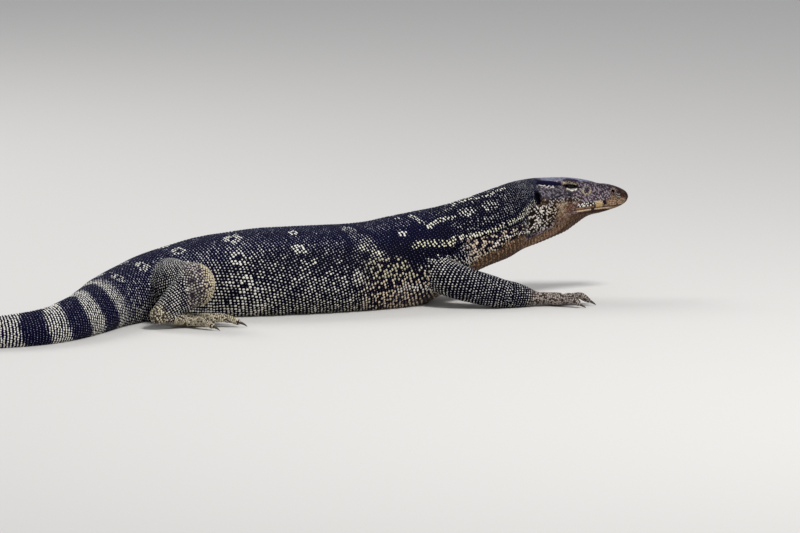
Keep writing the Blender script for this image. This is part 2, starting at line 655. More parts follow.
def fused_flesh():
    """One closed mesh of trunk, lids and limbs."""
    stations = np.concatenate([np.arange(TAIL_TIP, 0.28, 0.003), np.arange(0.28, 0.440, 0.0012),
                               SNOUT_TIP - 0.0052 * np.cos(np.linspace(0.0, math.pi / 2, 12)) ** 1.5])
    angles = half_turns(full_turn(180))
    parts = [tube_mesh(body_surface(stations[:, None], angles[None, :]))]
    parts += [lid_mesh(side) for side in (RIGHT, LEFT)]
    for _, tube in LIMB_TUBES:
        rings = tube_surface(tube, rounded_lengths(tube, 0.003)[:, None], full_turn(48)[None, :])
        parts.append(tube_mesh(rings))
    places = np.concatenate([part[0] for part in parts])
    starts = np.cumsum([0] + [len(part[0]) for part in parts[:-1]])
    faces = np.concatenate([part[1] + start for part, start in zip(parts, starts)])
    flesh = new_object("skin", new_mesh("skin", places, faces))
    fuse = flesh.modifiers.new("fuse", "REMESH")
    fuse.mode = "VOXEL"
    fuse.voxel_size = SKIN_CELL
    apply_modifiers(flesh)
    return flesh


def cut_openings(skin):
    """Sink the mouth's line, the eyes' sockets and slits, the ears and the nostrils."""
    cutters = [mouth_cutter()]
    room = EYE_RADIUS + 0.0002
    for side in (RIGHT, LEFT):
        eye = on_side(EYE_PLACE, side)
        slit = eye + Vector((0.0, SLIT_OUTWARD * side, 0.0))
        cutters.append(ellipsoid("socket", eye, (room, room, room)))
        cutters.append(ellipsoid("slit", slit, SLIT_RADII, SLIT_TILT))
        cutters.append(ellipsoid("ear_cup", on_side(EAR_PLACE, side), EAR_RADII, EAR_TILT))
        cutters.append(ellipsoid("nostril", on_side(NOSTRIL_PLACE, side), NOSTRIL_RADII, NOSTRIL_TILT))
    for cutter in cutters:
        cut = skin.modifiers.new(cutter.name, "BOOLEAN")
        cut.operation = "DIFFERENCE"
        cut.solver = "MANIFOLD"
        cut.object = cutter
    apply_modifiers(skin)
    for cutter in cutters:
        bpy.data.objects.remove(cutter)


def make_skin():
    """One skin over body and limbs, blended softly where they join, with the head's openings."""
    skin = fused_flesh()
    everywhere = ((0.0, 0.0, 0.05), 3.0, 0.35)
    soften(skin.data, [everywhere], 2)
    zones = []
    for (kind, _), limb in LIMBS.items():
        _, swell, joint, wrist = limb["joints"]
        zones += [(swell, LIMB_SIZES[kind]["blend"], 1.0), (joint, 0.032, 0.8), (wrist, 0.022, 0.8),
                  (limb["palm"], 0.024, 0.35)]
    soften(skin.data, zones, 30)
    cut_openings(skin)
    skin.data.shade_smooth()
    return skin


def thin_out(skin):
    """Bring the skin under its count of triangles, sparing the head."""
    group = skin.vertex_groups.new(name="spare")
    far = np.nonzero(vertex_vectors(skin.data)[:, 0] < SPARED_FROM)[0]
    group.add([int(i) for i in far], 1.0, "REPLACE")
    triangles = sum(len(face.vertices) - 2 for face in skin.data.polygons)
    thin = skin.modifiers.new("thin", "DECIMATE")
    thin.ratio = SKIN_TRIANGLES / triangles
    thin.use_collapse_triangulate = True
    thin.vertex_group = group.name
    thin.vertex_group_factor = 1.0
    apply_modifiers(skin)
    skin.vertex_groups.clear()
    skin.data.shade_smooth()


# Lattice of the body's scales: spacing of the rows, spacing within a row, and the rows' slant
row_pitch = through(
    (-1.382, 0.0020), (-1.1, 0.0028), (-0.8, 0.0036), (-0.5, 0.0042), (-0.3, 0.0046), (0.18, 0.0046),
    (0.225, 0.0043), (0.258, 0.0031), (0.285, 0.0023), (0.300, 0.0020), (0.330, 0.0019), (0.40, 0.0018),
    (SNOUT_TIP, 0.0016))
column_pitch = through(
    (-1.382, 0.0016), (-1.1, 0.0022), (-0.8, 0.0027), (-0.5, 0.0033), (-0.3, 0.0040), (0.18, 0.0041),
    (0.225, 0.0037), (0.258, 0.0028), (0.285, 0.0022), (0.300, 0.0020), (0.330, 0.0019), (0.40, 0.0018),
    (SNOUT_TIP, 0.0016))
slant = through((-0.5, 0.0), (-0.2, 0.24), (0.12, 0.28), (0.19, 0.10), (0.26, 0.0))


def scale_batch(place, ahead, size, station, girth, share, part):
    """Scale roots, with their direction, their length and width, where they lie, and their part."""
    count = len(place)
    return {"place": place, "ahead": np.broadcast_to(ahead, (count, 3)),
            "size": np.broadcast_to(size, (count, 2)), "station": station, "girth": girth,
            "share": np.broadcast_to(share, count), "part": np.full(count, part)}


def row_scales(surface, rows, part, jitter):
    """Rows of scales across a surface, staggered, counted from the back down each side.

    A row has its station, the spacings along and round the surface, and its slant."""
    samples = np.linspace(0.0, math.pi, 120)
    for number, (station, along, around, row_slant) in enumerate(rows):
        for side in (RIGHT, LEFT):
            girth = line_lengths(surface(station, samples * side))
            count = int(girth[-1] / around)
            if count < 1:
                continue
            first = 0.5 if number % 2 else (0.0 if side == RIGHT else 1.0)
            arcs = (first + np.arange(count)) * around
            arcs = arcs[arcs <= girth[-1] - 0.3 * around]
            arcs = arcs + RANDOM.normal(0.0, jitter * around, len(arcs))
            angle = np.interp(np.abs(arcs), girth, samples) * side
            here = station + row_slant * np.abs(arcs)
            here = here + RANDOM.normal(0.0, jitter * along, len(arcs))
            place = surface(here, angle)
            ahead = unit(surface(here + 0.001, angle) - place)
            share = np.abs(arcs) / girth[-1]
            kind = HEAD if part == BODY and station > HEAD_START else part
            yield scale_batch(place, ahead, (along, around), here, np.abs(arcs) * side, share, kind)


def body_rows():
    """Stations, spacings and slants of the body's rows, from tail to snout."""
    stations = [TAIL_TIP + 0.004]
    while stations[-1] < SNOUT_TIP - 0.001:
        stations.append(stations[-1] + float(row_pitch(stations[-1])))
    return [(station, *(float(curve(station)) for curve in (row_pitch, column_pitch, slant)))
            for station in stations]


def limb_rows(tube, along, around):
    """The same for a tube and its round ends."""
    _, _, lengths, _, upright = tube
    total = float(lengths[-1])
    stops = list(np.arange(0.0, total, along))
    for start, radius, way in ((0.0, float(upright(0.0)), -1), (total, float(upright(total)), 1)):
        turns = np.arange(1, int(0.5 * math.pi * radius / along) + 1) * along / radius
        stops += list(start + way * radius * np.sin(turns))
    return [(stop, along, around, 0.0) for stop in sorted(stops)]


def lip_scales():
    """Plates along both lips and a smaller row beyond each."""
    for rise, length, height in LIP_ROWS:
        path, _ = mouth_path(rise)
        run = line_lengths(path)
        stops = np.arange(0.3 * length, run[-1], length)
        place = at_lengths(stops, run, path)
        ahead = unit(at_lengths(stops + 0.001, run, path) - place)
        side = np.where(place[:, 1] < 0, RIGHT, LEFT)
        yield scale_batch(place, ahead, (length * 1.04, height), place[:, 0], side * (0.045 - rise), 0.6, LIP)


def tilted_ring(centre, across, high, tilt, pitch, start=0.0):
    """Scales round an oval seen from the side: their X, Z, heights over its middle and directions."""
    around = full_turn(int(math.pi * (across + high) / pitch)) + start
    along = across * np.cos(around)
    rise = high * np.sin(around)
    x = centre[0] + along * math.cos(tilt) + rise * math.sin(tilt)
    z = centre[2] - along * math.sin(tilt) + rise * math.cos(tilt)
    ahead = np.stack([-np.sin(around) * across, 0.0 * around, np.cos(around) * high], axis=-1)
    return x, z, rise, unit(ahead)


def lid_scales(side):
    """Rings of fine scales round the slit between the lids."""
    for ring in range(6):
        pitch = 0.0014 + 0.00012 * ring
        x, z, rise, ahead = tilted_ring(EYE_PLACE, SLIT_RADII[0] - 0.0010 + 0.0010 * ring,
                                        SLIT_RADII[2] + 0.0002 + 0.0014 * ring, SLIT_TILT, pitch, 0.5 * ring)
        reach = ((x - EYE_PLACE[0]) / LID_RADII[0]) ** 2 + ((z - EYE_PLACE[2]) / LID_RADII[2]) ** 2
        y = side * (EYE_PLACE[1] + LID_RADII[1] * np.sqrt(np.maximum(1 - reach, 0.0)))
        place = np.stack([x, y, z], axis=-1)
        yield scale_batch(place, ahead, (pitch * 1.02, 0.0014), x, side * (0.022 - rise), 0.2, LID)


def nostril_scales(side):
    """Two rings of fine scales round the nostril."""
    for ring in range(2):
        x, z, rise, ahead = tilted_ring(NOSTRIL_PLACE, NOSTRIL_RADII[0] + 0.0007 + 0.0015 * ring,
                                        NOSTRIL_RADII[2] + 0.0007 + 0.0015 * ring, NOSTRIL_TILT, 0.0015)
        place = np.stack([x, np.full(len(x), side * 0.0135), z], axis=-1)
        yield scale_batch(place, ahead, (0.0015, 0.0014), x, side * (0.017 - rise), 0.3, NOSTRIL)


def tip_scales():
    """The few plates that round off the tip of the snout."""
    middle = body_surface(SNOUT_TIP, 0.0) * 0.5 + body_surface(SNOUT_TIP, math.pi) * 0.5
    for share, count in ((0.0, 1), (0.62, 6)):
        rim = body_surface(SNOUT_TIP, half_turns(full_turn(count)))
        place = middle + (rim - middle) * share
        yield scale_batch(place, (0.0, 0.0, 1.0), (0.0021, 0.0020), place[:, 0] + 0.002 * (1 - share),
                          place[:, 1], 0.5, HEAD)


def gather_scales():
    """Scale roots over the whole surface, before they are laid on the skin."""
    batches = list(lip_scales())
    for ring_scales in (lid_scales, nostril_scales):
        for side in (RIGHT, LEFT):
            batches += ring_scales(side)
    batches += tip_scales()
    rows = body_rows()
    batches += row_scales(body_surface, [row for row in rows if row[0] <= NECK_START], BODY, TRUNK_JITTER)
    batches += row_scales(body_surface, [row for row in rows if row[0] > NECK_START], BODY, NECK_JITTER)
    for part, tube in LIMB_TUBES:
        rows = limb_rows(tube, *LIMB_PITCHES[part])
        batches += row_scales(partial(tube_surface, tube), rows, part, LIMB_JITTER)
    scales = {name: np.concatenate([batch[name] for batch in batches]) for name in batches[0]}
    x = scales["place"][:, 0]
    crown = step_up(scales["place"][:, 2], 0.1545, 0.1575) * step_up(x, 0.312, 0.325)
    crown *= (scales["part"] == HEAD) * step_down(x, 0.385, 0.400)
    scales["size"] = scales["size"] * (1 + CROWN_EXTRA * crown)[:, None]
    scales = take(scales, spread_out(scales))
    even_out(scales)
    return scales


def even_out(scales):
    """Push the head's scales apart until they pack without rows."""
    place = scales["place"]
    reach = scales["size"].mean(axis=1)
    moving = np.nonzero(scales["part"] == HEAD)[0]
    place[moving] += RANDOM.normal(0.0, HEAD_SHUFFLE, (len(moving), 3))
    for _ in range(PACKING_PASSES):
        near = search_tree(place)
        found = np.array([[other for _, other, _ in near.find_n(place[i], 7)] for i in moving])
        offset = place[moving][:, None, :] - place[found]
        distance = np.linalg.norm(offset, axis=2)
        wanted = 0.5 * (reach[moving][:, None] + reach[found])
        crowding = np.where(distance > 1e-9, np.maximum(wanted - distance, 0.0), 0.0)
        place[moving] += np.sum(unit(offset) * crowding[..., None], axis=1) * PACKING_PUSH


def take(scales, keep):
    """Some of the scales, by mask or number."""
    return {name: values[keep] for name, values in scales.items()}


def spread_out(scales, share=CROWD_SHARE):
    """Which roots stay when none may crowd an earlier one, by a share of its size."""
    places = scales["place"]
    near = search_tree(places)
    kept = np.ones(len(places), dtype=bool)
    reach = share * scales["size"].min(axis=1)
    for i, place in enumerate(places):
        if not kept[i]:
            continue
        for _, other, _ in near.find_range(place, reach[i]):
            if other > i:
                kept[other] = False
    return kept


def over_groove(place):
    """Which places lie in the groove between the lips."""
    near = np.abs(place[:, 2] - mouth_height(place[:, 0])) < 0.0012
    return near & (place[:, 0] > MOUTH_CORNER[0] + 0.001)


def in_opening(place):
    """Which places lie inside an eye's slit, an ear or a nostril."""
    inside = np.zeros(len(place), dtype=bool)
    for centre, radii, tilt, margin in OPENINGS:
        aside = place[:, 0] - centre[0]
        over = place[:, 2] - centre[2]
        across = aside * math.cos(tilt) - over * math.sin(tilt)
        rise = aside * math.sin(tilt) + over * math.cos(tilt)
        oval = (across / (radii[0] + margin)) ** 2 + (rise / (radii[2] + margin)) ** 2
        inside |= (oval < 1.0) & (place[:, 1] != 0)
    return inside


def lay_on_skin(scales, skin):
    """Move roots onto the skin, drop those that another part covers or that crowd others, and fill gaps."""
    tree = BVHTree.FromObject(skin, bpy.context.evaluated_depsgraph_get())
    found = [tree.find_nearest(Vector(root)) for root in scales["place"]]
    scales["place"] = np.array([place for place, _, _, _ in found])
    scales["normal"] = np.array([normal for _, normal, _, _ in found])
    gap = np.array([distance for _, _, _, distance in found])
    reach = np.where(np.isin(scales["part"], (PALM, DIGIT)), DIGIT_ROOT_REACH, ROOT_REACH)
    lost = (scales["part"] == HEAD) & over_groove(scales["place"])
    scales = take(scales, (gap < reach) & ~lost & ~in_opening(scales["place"]))
    return fill_bare(take(scales, spread_out(scales)), skin)


def fill_bare(scales, skin):
    """Add scales where the rows leave the skin bare, each like its nearest neighbour."""
    places = vertex_vectors(skin.data)
    near = search_tree(scales["place"])
    found = [near.find(place) for place in places]
    nearest = np.array([entry[1] for entry in found])
    distance = np.array([entry[2] for entry in found])
    distance /= scales["size"].max(axis=1)[nearest]
    bare = (distance > BARE_SHARE) & ~in_opening(places) & ~over_groove(places)
    chosen = np.nonzero(bare)[0]
    chosen = chosen[np.argsort(-distance[chosen], kind="stable")]
    fresh = take(scales, nearest[chosen])
    fresh["place"] = places[chosen]
    fresh["normal"] = vertex_vectors(skin.data, "normal")[chosen]
    fresh = take(fresh, spread_out(fresh, FILL_SHARE))
    return {name: np.concatenate([scales[name], fresh[name]]) for name in scales}


# Colours, linear
NIGHT = np.array((0.0018, 0.0014, 0.0070))
NAVY = np.array((0.0024, 0.0020, 0.0150))
CREAM = np.array((0.80, 0.77, 0.69))
YELLOW = np.array((0.78, 0.74, 0.53))
DIM = np.array((0.105, 0.110, 0.190))
GREY = np.array((0.40, 0.39, 0.41))
OLIVE = np.array((0.47, 0.43, 0.30))
TAN = np.array((0.46, 0.375, 0.285))
CHALK = np.array((0.66, 0.60, 0.53))
SLATE = np.array((0.125, 0.108, 0.128))
ASH = np.array((0.325, 0.268, 0.290))
LAVENDER = np.array((0.175, 0.170, 0.235))
PLUM = np.array((0.0060, 0.0040, 0.0120))
MURK = np.array((0.036, 0.025, 0.036))
BARK = np.array((0.022, 0.012, 0.010))
OCHRE = np.array((0.235, 0.150, 0.085))
ORANGE = np.array((0.27, 0.155, 0.088))
THROAT = np.array((0.32, 0.195, 0.120))
RUST = np.array((0.082, 0.040, 0.033))
HAND = np.array((0.37, 0.320, 0.280))
FOOT = np.array((0.56, 0.50, 0.36))
KNEE_YELLOW = np.array((0.60, 0.52, 0.36))
LIP_GOLD = np.array((0.76, 0.52, 0.25))
LIP_TAN = np.array((0.36, 0.235, 0.150))
TIP_BROWN = np.array((0.085, 0.045, 0.040))
BACK_GREY = np.array((0.35, 0.35, 0.44))
RING_GOLD = np.array((0.46, 0.375, 0.23))
NOSTRIL_RIM = np.array((0.27, 0.20, 0.17))
LID_BROWN = np.array((0.085, 0.058, 0.052))
LIP_LINE = np.array((0.60, 0.43, 0.29))


def blend(a, b, share):
    """Between two colours by a share of each scale's own."""
    return a + (b - a) * np.clip(share, 0.0, 1.0)[..., None]


def mix(a, b, share):
    """Between two values by a share."""
    return a + (b - a) * np.clip(share, 0.0, 1.0)


def noise_wave(x, y, seed):
    """A smooth, cheap noise from -1 to 1 made of a few crossed waves."""
    total = np.zeros_like(x)
    for k in range(4):
        turn = seed * 1.7 + k * 2.399
        total += np.sin(x * math.cos(turn) * (1 + 0.6 * k) + y * math.sin(turn) * (1 + 0.6 * k) + turn * 3.1)
    return total / 4


def worms(x, y, spacing, seed):
    """Winding bands from -1 to 1, like a labyrinth, a spacing apart."""
    k = 2 * math.pi / spacing
    bend = 2.4 * noise_wave(x * k * 0.30, y * k * 0.30, seed)
    return np.sin(x * k * 0.8 + 1.6 * noise_wave(x * k * 0.45, y * k * 0.45, seed + 5) + bend) \
        * np.cos(y * k * 0.7 - 1.4 * noise_wave(y * k * 0.40, x * k * 0.40, seed + 9) - bend)


# Rings of bright scales: station, girth down the side, ring radius, strength
OCELLI = (
    (-0.1394, 0.0700, 0.0088, 1.0), (-0.1345, 0.0270, 0.0090, 0.9), (-0.1350, 0.1085, 0.0080, 0.95),
    (-0.1690, 0.0490, 0.0066, 0.55), (-0.1520, 0.1210, 0.0044, 0.8), (-0.0530, 0.0717, 0.0064, 0.95),
    (-0.0490, 0.0293, 0.0050, 0.9), (-0.0524, 0.1087, 0.0062, 0.7), (0.0325, 0.0250, 0.0064, 0.65),
    (0.0802, 0.0298, 0.0064, 0.42), (0.1108, 0.0313, 0.0066, 0.40), (0.1010, 0.0540, 0.0046, 1.0),
    (-0.2150, 0.0200, 0.0075, 0.8), (-0.2180, 0.0560, 0.0075, 0.7), (-0.2850, 0.0180, 0.0075, 0.8),
    (-0.2850, 0.0500, 0.0070, 0.7), (-0.3450, 0.0160, 0.0070, 0.8), (-0.3470, 0.0440, 0.0065, 0.6))
# Clusters of bright scales: station, girth, reach along and round the body, strength
CLUSTERS = (
    (0.1980, 0.0340, 0.0140, 0.0080, 0.88), (0.2285, 0.0330, 0.0120, 0.0080, 0.78),
    (0.1670, 0.0380, 0.0085, 0.0040, 0.85), (0.1425, 0.0460, 0.0085, 0.0046, 1.0),
    (0.1062, 0.0124, 0.0055, 0.0030, 1.0), (0.1060, 0.0545, 0.0050, 0.0026, 0.8),
    (0.0400, 0.0740, 0.0120, 0.0090, 0.80), (0.0560, 0.0860, 0.0110, 0.0080, 0.85),
    (0.0225, 0.1200, 0.0075, 0.0110, 0.85), (-0.1370, 0.0430, 0.0040, 0.0040, 0.9),
    (-0.1235, 0.0140, 0.0040, 0.0060, 0.85), (-0.1130, 0.1010, 0.0060, 0.0050, 0.7),
    (-0.0050, 0.0960, 0.0070, 0.0040, 0.7), (-0.0120, 0.1120, 0.0100, 0.0040, 0.7))
# Bright bands: station and girth along each, half width, strength, yellowness
EAR_STRIPE = (
    ((0.2878, 0.0481), (0.2782, 0.0538), (0.2698, 0.0587), (0.2608, 0.0644), (0.2512, 0.0656),
     (0.2416, 0.0659), (0.2320, 0.0669), (0.2212, 0.0690), (0.2110, 0.0699), (0.1990, 0.0713),
     (0.1870, 0.0732), (0.1774, 0.0732), (0.1666, 0.0762), (0.1570, 0.0832)), 0.0041, 0.95, 0.5)
JAW_STRIPE = (
    ((0.2956, 0.0930), (0.2812, 0.0915), (0.2668, 0.0900), (0.2536, 0.0883), (0.2410, 0.0883),
     (0.2320, 0.0892), (0.2230, 0.0910), (0.2150, 0.0960)), 0.0026, 0.95, 0.2)
BANDS = (
    EAR_STRIPE,
    (((0.1570, 0.0852), (0.1500, 0.0830), (0.1410, 0.0805), (0.1320, 0.0780), (0.1220, 0.0760),
      (0.1150, 0.0785)), 0.0058, 0.84, 0.95),
    (((0.1258, 0.0137), (0.1288, 0.0292), (0.1348, 0.0400)), 0.0042, 0.85, 0.2),
    (((0.1384, 0.0502), (0.1450, 0.0459), (0.1576, 0.0394), (0.1750, 0.0376)), 0.0042, 0.95, 0.3),
    (((0.1858, 0.0101), (0.1906, 0.0047), (0.2002, 0.0059), (0.2080, 0.0044), (0.2224, 0.0116),
      (0.2290, 0.0125), (0.2380, 0.0151), (0.2452, 0.0112), (0.2600, 0.0110)), 0.0026, 1.0, 0.1),
    JAW_STRIPE,
    (((0.0310, 0.0185), (0.0334, 0.0358), (0.0328, 0.0591), (0.0334, 0.0734), (0.0274, 0.0863)),
     0.0075, 0.50, 0.2),
    (((0.0448, 0.0532), (0.0490, 0.0698), (0.0544, 0.0834), (0.0640, 0.0953)), 0.0085, 0.62, 0.4),
    (((-0.0520, 0.0930), (-0.0434, 0.0980), (-0.0332, 0.0909)), 0.0034, 0.80, 0.2),
)
ARMPIT_FOLD = ((0.088, 0.140), (0.100, 0.136), (0.113, 0.139), (0.128, 0.150))
# Lines on the head, seen from the side: X and Z along each
TEMPLE_LINE = ((0.296, 0.1585), (0.3098, 0.1588), (0.3265, 0.1575), (0.3400, 0.1550))
BROW_LINE = ((0.3480, 0.1598), (0.3560, 0.1600), (0.3680, 0.1583))
CHEEK_TOP_LINE = ((0.3085, 0.1552), (0.3200, 0.1543), (0.3310, 0.1536))
UNDER_EYE_LINE = ((0.3248, 0.1383), (0.3437, 0.1424), (0.3617, 0.1388))
JAW_EDGE_LINE = ((0.3347, 0.1262), (0.3395, 0.1205), (0.3455, 0.1140), (0.3515, 0.1060))
# Lines round the eye, from its middle along the slit and up
EYE_CORNER_LINE = ((0.0090, 0.0000), (0.0150, -0.0018))
LID_ARCH = ((-0.0122, 0.0036), (-0.0060, 0.0048), (-0.0010, 0.0050), (0.0060, 0.0041), (0.0124, 0.0002))
UNDER_SLIT_LINE = ((-0.0060, -0.0040), (0.0000, -0.0052), (0.0085, -0.0042))
# Repeats of the belly's bars, the tail's bands and the throat's ridges
BELLY_BAR = 0.030
TAIL_BAND = 0.066
THROAT_RIDGE = 0.0062
CHIN_RIDGE = 0.0050


def plain_brightness(s, g):
    """How bright the spots are on neck, trunk and tail, apart from rings, clusters and bands."""
    bright = 0.31 + 0.10 * step_up(g, 0.030, 0.070) + 0.16 * step_up(g, 0.080, 0.130)
    bright += 0.13 * noise_wave(s * 130, g * 130, 1.0) + 0.13 * noise_wave(s * 420, g * 420, 2.0)
    bright += 0.07 * step_up(g, 0.095, 0.125) + 0.19 * step_up(-s, 0.07, 0.13) * step_up(g, 0.010, 0.060)
    lighter = noise_wave(s * 900, g * 900, 17.0) > 0.42
    darker = noise_wave(s * 240, g * 300, 19.0) > 0.50
    bright += 0.14 * lighter - 0.14 * darker
    dark_shoulder = step_up(s, 0.062, 0.088) * step_down(s, 0.158, 0.172) * step_up(g, 0.036, 0.048)
    dark_shoulder *= step_down(g, 0.100, 0.110)
    bright = mix(bright, 0.06 + 0.24 * (noise_wave(s * 620, g * 620, 6.0) > 0.36), dark_shoulder)
    flecks = noise_wave(s * 330, g * 330, 3.0)
    nape = 0.27 + 0.34 * (flecks > 0.10)
    nape = mix(nape, 0.50 + 0.14 * flecks, step_up(s, 0.205, 0.225) * step_up(g, 0.016, 0.024))
    nape = mix(nape, 0.40 + 0.10 * flecks, step_up(s, 0.245, 0.262))
    nape = nape * (1 - 0.45 * step_up(s, 0.292, 0.302))
    return mix(bright, nape, step_up(s, 0.165, 0.185) * step_down(g, 0.060, 0.075))


def body_marks(s, g):
    """How bright and how yellow the spots are on neck, trunk and tail, from 0 to 1."""
    bright = plain_brightness(s, g)
    fills = []
    for station, girth, along, around, strength in CLUSTERS:
        away = np.hypot((s - station) / along, (g - girth) / around)
        bright = mix(bright, 0.14, 0.8 * ridge(away, 1.55, 0.28))
        fills.append((strength, step_down(away, 0.75, 1.10), 0.0))
    for station, girth, radius, strength in OCELLI:
        away = np.hypot(s - station, g - girth) + 0.0014 * noise_wave(s * 500, g * 500, 31.0)
        bright = mix(bright, 0.10, strength * step_down(away, radius + 0.0020, radius + 0.0060))
        ring = ridge(away, radius, min(0.0034, 0.5 * radius))
        fills.append((1.2 * strength, step_up(ring, 0.10, 0.45), 0.0))
    for line, reach, strength, tint in BANDS:
        away = line_distance(s, g, line)
        bright = mix(bright, 0.14, 0.75 * ridge(away, 1.9 * reach, 0.6 * reach))
        fills.append((strength, step_up(ridge(away, 0.0, reach), 0.08, 0.50), tint))
    yellow = 0.30 * step_up(g, 0.12, 0.17)
    uneven = 0.86 + 0.30 * noise_wave(s * 1700, g * 1500, 23.0)
    for strength, here, tint in fills:
        here = here * (1 - 0.45 * step_up(s, 0.262, 0.284) * (g < 0.080))
        bright = np.maximum(bright, strength * uneven * here)
        yellow = np.maximum(yellow, tint * (here > 0.4))
    bands = 0.5 + 0.5 * np.sin(s * 2 * math.pi / TAIL_BAND + 0.8 * np.sin(g * 60))
    striped = 0.32 + 0.60 * step_up(bands, 0.30, 0.75) + 0.14 * noise_wave(s * 300, g * 300, 8.0)
    return mix(bright, striped, step_down(s, -0.40, -0.34)), yellow


def from_joint(place, number):
    """Offsets of places from the nearest limb's joint of a number, which 0 is the shoulder or hip."""
    joints = np.array([limb["joints"][number] for limb in LIMBS.values()])
    offsets = place[:, None, :] - joints[None, :, :]
    nearest = np.argmin(np.linalg.norm(offsets, axis=2), axis=1)
    return offsets[np.arange(len(place)), nearest]


class Coat:
    """Colours of all scales and the sizes of their spots, painted zone by zone."""

    def __init__(self, scales):
        self.station = scales["station"]
        self.girth = np.abs(scales["girth"])
        self.share = scales["share"]
        self.part = scales["part"]
        self.place = scales["place"]
        self.body = self.part == BODY
        self.chance = RANDOM.uniform(0.0, 1.0, len(self.part))
        self.x = self.place[:, 0]
        self.y = np.abs(self.place[:, 1])
        self.z = self.place[:, 2]
        self.above = self.z - mouth_height(self.x)
        self.fine = worms(self.x, self.z + 0.6 * self.y, 0.0038, 3.0) + 1.1 * (self.chance - 0.5)
        self.coarse = worms(self.x + 0.002, self.z + 0.4 * self.y, 0.0048, 4.0) + 0.35 * (self.chance - 0.5)
        self.ragged = 0.0030 * self.fine

    def speckled(self, colour, least, spread):
        """A colour that is darker or brighter at random from scale to scale."""
        return colour * (least + spread * self.chance)[:, None]

    def paint(self, share, dots=None, size=None, ground=None):
        """Bring the spots' colour, their size and the ground towards new ones by a share."""
        if dots is not None:
            self.dots = blend(self.dots, dots, share)
        if size is not None:
            self.size = mix(self.size, size, share)
        if ground is not None:
            self.ground = blend(self.ground, ground, share)

    def tint(self, share, tone):
        """The same for the head's own tone."""
        self.tone = blend(self.tone, tone, share)

    def stroke(self, line, start, end):
        """One along a line on the head's side, falling to nothing between two distances from it."""
        return step_down(line_distance(self.x, self.z, line), start, end)

    def patch(self, across, upright):
        """One inside a soft rectangle on the head's side, each way given as start, end and edge."""
        return between(self.x, *across) * between(self.z, *upright)

    def oval(self, centre, radii):
        """Distance from a place on the head's side, as a share of an oval's radii."""
        return np.hypot((self.x - centre[0]) / radii[0], (self.z - centre[1]) / radii[1])


def paint_body(coat):
    """Night blue with pale spots, on neck, trunk, tail and limbs."""
    s, g, chance = coat.station, coat.girth, coat.chance
    bright, yellow = body_marks(s, g)
    limb = coat.part >= UPPER
    from_root = np.linalg.norm(from_joint(coat.place, 0), axis=1)
    on_limb = np.where(coat.x > 0, 0.55 + 0.17 * step_down(from_root, 0.045, 0.085), 0.70)
    on_limb = on_limb + 0.12 * noise_wave(coat.x * 260, coat.place[:, 1] * 260, 2.0)
    bright = np.where(limb, on_limb, bright)
    yellow = np.where(limb, 0.0, yellow)
    bright = bright * mix(0.68 + 0.60 * chance, 0.90 + 0.22 * chance, step_up(bright, 0.60, 0.80))
    back = coat.body * step_down(g, 0.055, 0.085) * step_down(s, 0.13, 0.18)
    coat.ground = blend(NIGHT, NAVY, back)
    dots = blend(DIM, blend(GREY, BACK_GREY, back), (bright - 0.20) / 0.28)
    dots = blend(dots, CREAM, (bright - 0.48) / 0.34)
    coat.dots = blend(dots, YELLOW, yellow * step_up(bright, 0.4, 0.6))
    coat.size = np.clip(0.15 + 0.58 * bright + 0.16 * step_up(bright, 0.80, 1.0), 0.15, 0.92)


def paint_armpit(coat):
    """Olive, netted with black, over the armpit and the fold before it, and paler below."""
    s, g = coat.station, coat.girth
    upper_edge = 0.088 + 0.02 * step_up(s, 0.09, 0.11) + 0.004 * noise_wave(s * 300, g * 300, 12.0)
    olive = step_up(s, 0.005, 0.060) * step_down(s, 0.150, 0.170) * step_up(g - upper_edge, 0.0, 0.010)
    olive *= coat.body
    net = worms(s, g, 0.0085, 2.0) + 0.4 * (coat.chance - 0.5)
    tawny = coat.speckled(blend(OLIVE, TAN * 1.25, step_up(g, 0.115, 0.135)), 0.75, 0.45)
    coat.paint(olive, tawny, np.where(net > -0.10, 0.90, 0.30))
    coat.paint(olive * (net < -0.30) * 0.9, NIGHT * 4)
    fold = ridge(line_distance(s, g, ARMPIT_FOLD), 0.0, 0.006)
    coat.paint(olive * step_up(fold, 0.3, 0.7), coat.speckled(CHALK, 0.7, 0.5), 0.95)
    coat.paint(olive * step_up(g, 0.128, 0.142) * step_up(s, 0.060, 0.085), size=0.92)


def paint_belly(coat):
    """Belly and the tail's root below, tan with black bars."""
    s = coat.station
    belly = step_up(coat.share, 0.66, 0.80) * coat.body * step_up(s, -0.30, -0.25)
    bars = step_up(np.sin(s * 2 * math.pi / BELLY_BAR), 0.2, 0.6)
    coat.paint(belly, blend(TAN * 1.2, NIGHT * 5, bars * 0.85), 0.92, TAN * 0.22)


